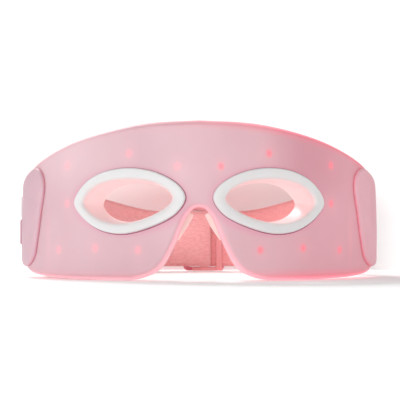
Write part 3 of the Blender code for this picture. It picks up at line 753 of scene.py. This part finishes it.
def ring_shadow_line(name, side):
    """A dark band under the ring's outer edge, set off to the lower right of each ring: a painted shadow of
    the gap where the ring stands on the shell.
    """
    outer = inset(spline(RING_OUTER, 9), -0.34) * np.array([side, 1.0]) + np.array([0.20, -0.16])
    inner = inset(spline(RING_OUTER, 9), 0.9) * np.array([side, 1.0])
    sections = [[(a[0], -0.16, a[1]), (b[0], -0.16, b[1]), (b[0], 0.12, b[1]), (a[0], 0.12, a[1])]
                for a, b in zip(inner, outer)]
    gap_shadow_mesh = bend(skin(name, sections), on_visor)
    smooth(gap_shadow_mesh)
    return dress(gap_shadow_mesh, GAP_SHADOW_DARK)


def eye_cushion(name, side):
    near = inset(spline(RING_INNER, 9), -TUNNEL_WALL - 0.35)
    far = inset(spline(RING_INNER, 9), -TUNNEL_WALL - 5.2)
    profile = spline([(0.0, 11.0), (0.0, 12.6), (0.12, 14.0), (0.5, 14.8), (0.88, 13.9), (1.0, 12.3),
                      (1.0, 11.0)], 3, closed=False)
    sections = []
    for a, b in zip(near, far):
        across = [(a + (b - a) * share, d) for share, d in profile]
        sections.append([(side * p[0], d, p[1]) for p, d in across])
    cushion = bend(skin(name, sections), on_visor)
    smooth(cushion, 60)
    return dress(cushion, CUSHION, nodes=["eye_cushion_" + name.split("_")[-1]])


def nose_pad(name, side):
    path = spline([(12.2, 19.5), (10.4, 23.6), (8.4, 28), (5.4, 33.0)], 10, closed=False)
    profile = spline([(1.9, 10.95), (0.6, 10.95), (-0.4, 12.0), (-1.9, 15.2), (-2.7, 18.6), (-2.2, 19.0),
                      (-1.1, 18.4), (0.2, 15.4), (1.2, 12.9)], 3)
    sections = []
    for k, point in enumerate(path):
        ahead = path[min(k + 1, len(path) - 1)] - path[max(k - 1, 0)]
        outward = np.array([ahead[1], -ahead[0]]) / np.linalg.norm(ahead)
        taper = 0.50 + 0.50 * math.sin(math.pi * (k + 3.0) / (len(path) + 5.0))
        reach = 0.2 + 0.8 * min(1.5 * k / (len(path) - 1), 1.0)
        section = []
        for across, d in profile:
            depth = 10.95 + max(d - 10.95, 0.0) * taper
            place = point + outward * across * (reach if across < 0 else 1.0)
            section.append((side * max(place[0], 0.7), depth, place[1]))
        sections.append(section)
    pad = bend(skin(name, sections, ring=False), on_visor)
    smooth(pad, 60)
    return dress(pad, CUSHION, nodes=["nose_pad_" + name.split("_")[-1]])


def brow_pad():
    top = spline([(-46, 73.2), (-30, 75.9), (0, 77.4), (30, 75.9), (46, 73.2)], 16, closed=False)
    profile = spline([(-4.4, 11.0), (-4.5, 12.9), (-5.5, 14.4), (-7.1, 14.9), (-8.7, 14.4), (-9.7, 12.9),
                      (-9.8, 11.0)], 3, closed=False)
    sections = []
    for k, p in enumerate(top):
        edge = min(k, len(top) - 1 - k) / 5.0
        swell = math.sqrt(max(1 - (1 - min(edge, 1.0)) ** 2, 0.06))
        sections.append([(p[0], 11.0 + (d - 11.0) * swell, p[1] - 7.1 + (drop + 7.1) * (0.55 + 0.45 * swell))
                         for drop, d in profile])
    pad = bend(skin("brow_cushion", sections, ring=False), on_visor)
    smooth(pad, 60)
    return dress(pad, CUSHION, nodes=["brow_pad"])


def temple_cover(name, side):
    outline = spline(COVER_OUTLINE, 9) * np.array([side, 1.0])
    cover = plate(name, outline, -COVER_PROUD, -0.25, round_near=1.45, segments=7)
    if side < 0:
        cut(cover,
            plate("button_hole", rounded_box(5.6, 13.8, 2.7, (CONTROL_U, BUTTON_Z)), -4, 2),
            plate("port_seat", rounded_box(6.6, 11.4, 2.6, (CONTROL_U, PORT_Z)), -4, -1.15),
            plate("port_hole", rounded_box(4.2, 9.8, 1.8, (CONTROL_U, PORT_Z)), -4, 2))
    bend(cover, on_visor, 3.0, 6.0)
    smooth(cover)
    return dress(cover, COVER, nodes=["temple_cover_" + name.split("_")[-1]])


def power_button():
    cap = plate("button_cap", rounded_box(5.0, 13.2, 2.45), -1.45, 1.7, round_near=0.8)
    join(cap, plate("flange", rounded_box(7.0, 15.2, 3.0), 1.5, 2.2), plate("stem", circle(1.4), 2.0, 5.0))
    seat(cap, CONTROL_U, -1.55, BUTTON_Z)
    smooth(cap)
    return dress(cap, BUTTON, body="button", nodes=["power_button"])


def port_cover():
    flap = plate("port_flap_cap", rounded_box(6.0, 10.8, 2.4), -1.45, -0.15, round_near=0.55)
    join(flap, plate("plug", rounded_box(1.9, 6.9, 0.9), -0.3, 0.9))
    seat(flap, CONTROL_U, -1.35, PORT_Z)
    smooth(flap)
    return dress(flap, PORT_WHITE, body="port_flap", nodes=["port_cover"])


# ---------------------------------------------------------------- lights

def led(side_name, side, number, u, z):
    body = block("led_body_%s_%d" % (side_name, number), (-2.5, -0.8, -2.5), (2.5, 0.6, 2.5), bevel=0.25)
    cut(body, plate("cup", circle(2.0), 0.3, 1.0))
    seat(body, side * u, 7.7, z)
    smooth(body)
    dress(body, LED_BODY, nodes=["led_%s_%d" % (side_name, number)])
    lens = plate("led_lens_%s_%d" % (side_name, number), circle(1.9), 0.32, 1.2, round_far=0.7)
    seat(lens, side * u, 7.7, z)
    smooth(lens)
    dress(lens, LED_LENS)


# ---------------------------------------------------------------- strap

def ribbon(name, path, half, low, high):
    """A strip of strap along a plan path of (s, r) points, with rounded edges."""
    points = np.array(path, float)
    sections = []
    rows = [(0.0, low), (0.55, low + 0.12), (0.92, low + 0.6)]
    inner = [(1.0, float(z)) for z in np.linspace(low + 1.6, high - 1.6, 20)]
    side_rows = rows + inner + [(0.92, high - 0.6), (0.55, high - 0.12), (0.0, high)]
    for k, point in enumerate(points):
        ahead = points[min(k + 1, len(points) - 1)] - points[max(k - 1, 0)]
        across = np.array([-ahead[1], ahead[0]]) / np.linalg.norm(ahead)
        front = [(point + across * half * share, z) for share, z in side_rows]
        back = [(point - across * half * share, z) for share, z in side_rows[-2:0:-1]]
        sections.append([(p[0], p[1], z) for p, z in front + back])
    return skin(name, sections, ring=False)


PIN_S = STRAP_RADIUS * math.pi / 2 + (STRAP_Y - on_visor(PIN_U, 5.5, 28).y)


def strap_band():
    count = int(2 * PIN_S / 1.5)
    path = [(-PIN_S + 2 * PIN_S * k / count, 0.0) for k in range(count + 1)]
    band = ribbon("strap_webbing", path, 0.62, STRAP_LOW, STRAP_HIGH)
    pin_r = abs(on_visor(PIN_U, 5.5, 41).x) - STRAP_RADIUS
    join(band, *[rod("hem", 2.3, STRAP_LOW, STRAP_HIGH, (side * PIN_S, pin_r)) for side in (-1, 1)])
    cut(band, *[rod("hole", 1.5, STRAP_LOW - 1, STRAP_HIGH + 1, (side * PIN_S, pin_r)) for side in (-1, 1)])
    bend(band, on_strap)
    smooth(band, 60, weighted=False)
    return dress(band, STRAP_FACE, nodes=["strap_band"])


def strap_loop():
    """The sewn end of the strap, folded round the slider's centre bar."""
    middle = spline([(-25.8, -1.52), (-14, -1.52), (-4, -1.6), (2.7, -1.72), (4.15, -3.1), (3.5, -4.75),
                     (2.2, -5.15), (-3.2, -5.15), (-8, -4.5), (-13, -3.25), (-18, -2.65), (-25.8, -2.62)], 6,
                    closed=False)
    loop = ribbon("strap_fold", middle, 0.53, STRAP_LOW, STRAP_HIGH)
    bend(loop, slider_place)
    smooth(loop, 60, weighted=False)
    return dress(loop, VELOUR, body="slider", nodes=["strap_loop"])


def strap_return():
    seam = SLIDER_S - 26.3
    end = 4.2 - PIN_S
    count = 90
    path = [(seam + (end - seam) * k / count, -1.55) for k in range(count + 1)]
    layer = ribbon("strap_return_layer", path, 0.5, STRAP_LOW, STRAP_HIGH)
    bend(layer, on_strap)
    smooth(layer, 60, weighted=False)
    layer.data.materials.clear()
    layer.data.materials.append(VELOUR)
    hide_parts("strap_return")
    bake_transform(layer)
    return layer


def stitch_row(name, place, s, r, body, count=12):
    """A row of thread stitches across the strap, each a short bowed thread that dips in at both ends."""
    bm = bmesh.new()
    gap = (STRAP_WIDTH - 3.4) / count
    for k in range(count):
        low = STRAP_LOW + 1.7 + gap * (k + 0.14)
        loops = []
        for step in range(7):
            share = step / 6
            bow = math.sin(math.pi * share)
            centre = Vector((s + 0.06 * (-1) ** k, r + math.copysign(0.16, r) * (bow - 0.45),
                             low + gap * 0.72 * share))
            radius = 0.10 + 0.13 * math.sqrt(max(bow, 0.0))
            loops.append([bm.verts.new(centre + radius * Vector((math.cos(a), math.sin(a), 0)))
                          for a in np.arange(8) * math.pi / 4])
        for a, b in zip(loops, loops[1:]):
            for j in range(8):
                bm.faces.new((a[j], a[(j + 1) % 8], b[(j + 1) % 8], b[j]))
        bm.faces.new(loops[0])
        bm.faces.new(loops[-1])
    row = bend(finish_mesh(bm, name), place)
    smooth(row, 60, weighted=False)
    return dress(row, THREAD, body=body)


def strap_slider():
    low = STRAP_MID_Z - SLIDER_HEIGHT / 2
    high = STRAP_MID_Z + SLIDER_HEIGHT / 2
    outline = rounded_box(SLIDER_WIDTH, SLIDER_HEIGHT, 3.0, (0, STRAP_MID_Z))
    slider = plate("slider_frame", outline, 0.95, 2.75, round_near=0.5, round_far=0.8)
    cut(slider, plate("window", rounded_box(18.6, 34.9, 1.2, (0, STRAP_MID_Z)), -1, 4))
    rails = []
    for z0, z1 in ((low, low + 2.3), (high - 2.3, high)):
        rails.append(block("rail", (-7.2, -4.3, z0 + 0.02), (7.2, 1.8, z1 - 0.02), bevel=0.5))
        rails.append(block("foot", (6.6, -1.75, z0 + 0.02), (11.6, 1.8, z1 - 0.02), bevel=0.3))
    rails.append(block("bar", (-2.3, -4.3, low + 1.2), (2.3, -2.35, high - 1.2), bevel=0.4))
    rails.append(block("side_bar", (7.8, -1.7, low + 0.8), (11.5, -0.9, high - 0.8), bevel=0.25))
    join(slider, *rails)
    bend(slider, slider_place, 2.0)
    smooth(slider)
    return dress(slider, SLIDER, body="slider", nodes=["strap_slider"])


front_shell()
inner_liner()
brow_pad()
power_button()
port_cover()
for side_word, side_sign in (("left", -1), ("right", 1)):
    eye_ring("ring_" + side_word, side_sign)
    # A dark band of painted shadow under each ring's edge
    ring_shadow_line("ring_seat_" + side_word, side_sign)
    eye_cushion("cushion_" + side_word, side_sign)
    nose_pad("nosepad_" + side_word, side_sign)
    temple_cover("cover_" + side_word, side_sign)
    for led_number, (led_u, led_z) in enumerate(LED_SPOTS, 1):
        led(side_word, side_sign, led_number, led_u, led_z)
strap_band()
strap_loop()
strap_return()
strap_slider()
for row_number, row_s in enumerate((-22.4, -24.6), 1):
    stitch_row("seam_stitches_%d" % row_number, slider_place, row_s, -3.24, "slider")
for side_word, side_sign in (("left", -1), ("right", 1)):
    for row_number, row_s in enumerate((13.0, 15.4), 1):
        row_name = "hem_stitches_%s_%d" % (side_word, row_number)
        stitch_row(row_name, on_strap, side_sign * (PIN_S - row_s), 0.66, "mask")

CARRIED = {
    "battery": FOIL, "battery_connector": PLUG_WHITE, "battery_lead_red": WIRE_RED,
    "battery_lead_black": WIRE_BLACK, "control_board": BOARD_GREEN, "processor_chip": CHIP,
    "charger_chip": CHIP, "tact_switch": STEEL, "usb_socket": STEEL, "bridge_ribbon": POLYIMIDE,
    "led_board_left": POLYIMIDE, "led_board_right": POLYIMIDE,
    "strap_pin_left": STEEL, "strap_pin_right": STEEL, "screw_left_lower": STEEL, "screw_left_upper": STEEL,
    "screw_right_lower": STEEL, "screw_right_upper": STEEL,
}
for node_name, node_material in CARRIED.items():
    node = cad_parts[node_name]
    node.data.materials.clear()
    node.data.materials.append(node_material)
    smooth(node, 32)


# ---------------------------------------------------------------- studio

FLOOR_RADIUS = 1.6
CARD_Y = 0.100
CARD_HALF = 0.3
CARD_HEIGHT = 0.35


def floor():
    """A white floor that gets brighter away from the mask, so that it runs out into the white room."""
    bm = bmesh.new()
    bmesh.ops.create_circle(bm, cap_ends=True, segments=96, radius=FLOOR_RADIUS)
    obj = finish_mesh(bm, "studio_floor")
    look = Look("floor_white", roughness=0.8, Specular_IOR_Level=0.1)
    paper = look.noise(look.place(), 60.0, 4.0)
    look.set(Base_Color=look.mix(look.ramp(paper, 0.3, 0.7), (0.93, 0.93, 0.93), (0.95, 0.95, 0.95)))
    away = look.vector('LENGTH', look.place())
    look.set(Emission_Color=(1.0, 1.0, 1.0), Emission_Strength=look.ramp(away, 0.25, 1.1, 0.15, 0.80))
    obj.data.materials.append(look.material)
    obj.location = (0, 0, -0.0004)


def backdrop():
    """A pale card close behind the strap, seen from the front only, with a painted shadow of the mask on it,
    faintly pink from the mask's lights.
    """
    corners = ((-CARD_HALF, 0), (CARD_HALF, 0), (CARD_HALF, CARD_HEIGHT), (-CARD_HALF, CARD_HEIGHT))
    bm = bmesh.new()
    bm.faces.new([bm.verts.new((x, CARD_Y, z)) for x, z in corners])
    mesh = bpy.data.meshes.new("studio_backdrop")
    bm.to_mesh(mesh)
    bm.free()
    obj = bpy.data.objects.new("studio_backdrop", mesh)
    bpy.context.collection.objects.link(obj)
    smooth(obj, weighted=False)
    look = Look("backdrop_white", roughness=0.9, Specular_IOR_Level=0.0)
    x, y, z = look.split(look.place())
    # Painted shadow behind the mask: darker and pinker there and without the card's faint glow, which
    # brightens it outside
    away = look.vector('LENGTH', look.join(look.math('DIVIDE', x, 0.094), 0.0,
                                           look.math('DIVIDE', look.math('SUBTRACT', z, 0.03), 0.06)))
    look.set(Base_Color=look.mix(look.ramp(away, 0.75, 1.2), (0.88, 0.81, 0.81), (0.93, 0.93, 0.93)),
             Emission_Color=(1.0, 1.0, 1.0), Emission_Strength=look.ramp(away, 0.75, 1.2, 0.0, 0.10))
    tree = look.tree
    clear = tree.nodes.new("ShaderNodeBsdfTransparent")
    side = tree.nodes.new("ShaderNodeNewGeometry")
    share = tree.nodes.new("ShaderNodeMixShader")
    tree.links.new(side.outputs["Backfacing"], share.inputs[0])
    tree.links.new(look.shader.outputs[0], share.inputs[1])
    tree.links.new(clear.outputs[0], share.inputs[2])
    tree.links.new(share.outputs[0], tree.nodes["Material Output"].inputs["Surface"])
    obj.data.materials.append(look.material)
    obj.visible_diffuse = False
    obj.visible_glossy = False
    obj.visible_transmission = False
    obj.visible_shadow = False


def light(name, place, aim, size, power, colour=(1, 1, 1)):
    data = bpy.data.lights.new(name, 'AREA')
    data.shape = 'RECTANGLE'
    data.size, data.size_y = size
    data.energy = power
    data.color = colour
    obj = bpy.data.objects.new(name, data)
    obj.location = place
    obj.rotation_euler = (Vector(aim) - Vector(place)).to_track_quat('-Z', 'Y').to_euler()
    obj.visible_camera = False
    bpy.context.collection.objects.link(obj)
    return obj


ROOM = 0.40
ROOM_SEEN = 1.05


def surroundings():
    """White room light. The room itself looks pure white behind the floor."""
    world = bpy.data.worlds.new("studio")
    bpy.context.scene.world = world
    world.use_nodes = True
    tree = world.node_tree
    background = tree.nodes["Background"]
    background.inputs["Color"].default_value = (1.0, 1.0, 1.0, 1.0)
    path = tree.nodes.new("ShaderNodeLightPath")
    strength = tree.nodes.new("ShaderNodeMapRange")
    strength.inputs["To Min"].default_value = ROOM
    strength.inputs["To Max"].default_value = ROOM_SEEN
    tree.links.new(path.outputs["Is Camera Ray"], strength.inputs["Value"])
    tree.links.new(strength.outputs["Result"], background.inputs["Strength"])


floor()
backdrop()
surroundings()
light("key", (-0.30, -1.85, 0.22), (0, 0, 0.03), (0.36, 0.30), 14.0)
light("side", (-1.7, -0.45, 0.6), (0, 0, 0.03), (1.0, 1.0), 8.0)
light("back", (-0.7, 1.05, 1.45), (0, 0, 0.0), (0.6, 0.6), 22.0)
light("fill", (1.8, -0.15, 0.5), (0, 0, 0.03), (1.0, 1.0), 6.0)
light("led_glow", (0, -0.050, 0.036), (0, 0.08, 0.026), (0.12, 0.03), 0.026, (1.0, 0.24, 0.24))
bpy.context.scene.view_settings.view_transform = 'Standard'

VIEW_DISTANCE = 560.0
VIEW_WIDTH = 192.0
VIEW_UP_DEG = 1.8
camera_data = bpy.data.cameras.new("camera")
camera_data.sensor_width = 36.0
camera_data.lens = camera_data.sensor_width * VIEW_DISTANCE / VIEW_WIDTH
camera = bpy.data.objects.new("camera", camera_data)
camera.location = (0.0004, (FRONT_Y - VIEW_DISTANCE) * MM, 0.021)
camera.rotation_euler = (math.radians(90.0 + VIEW_UP_DEG), 0, 0)
bpy.context.collection.objects.link(camera)
bpy.context.scene.camera = camera
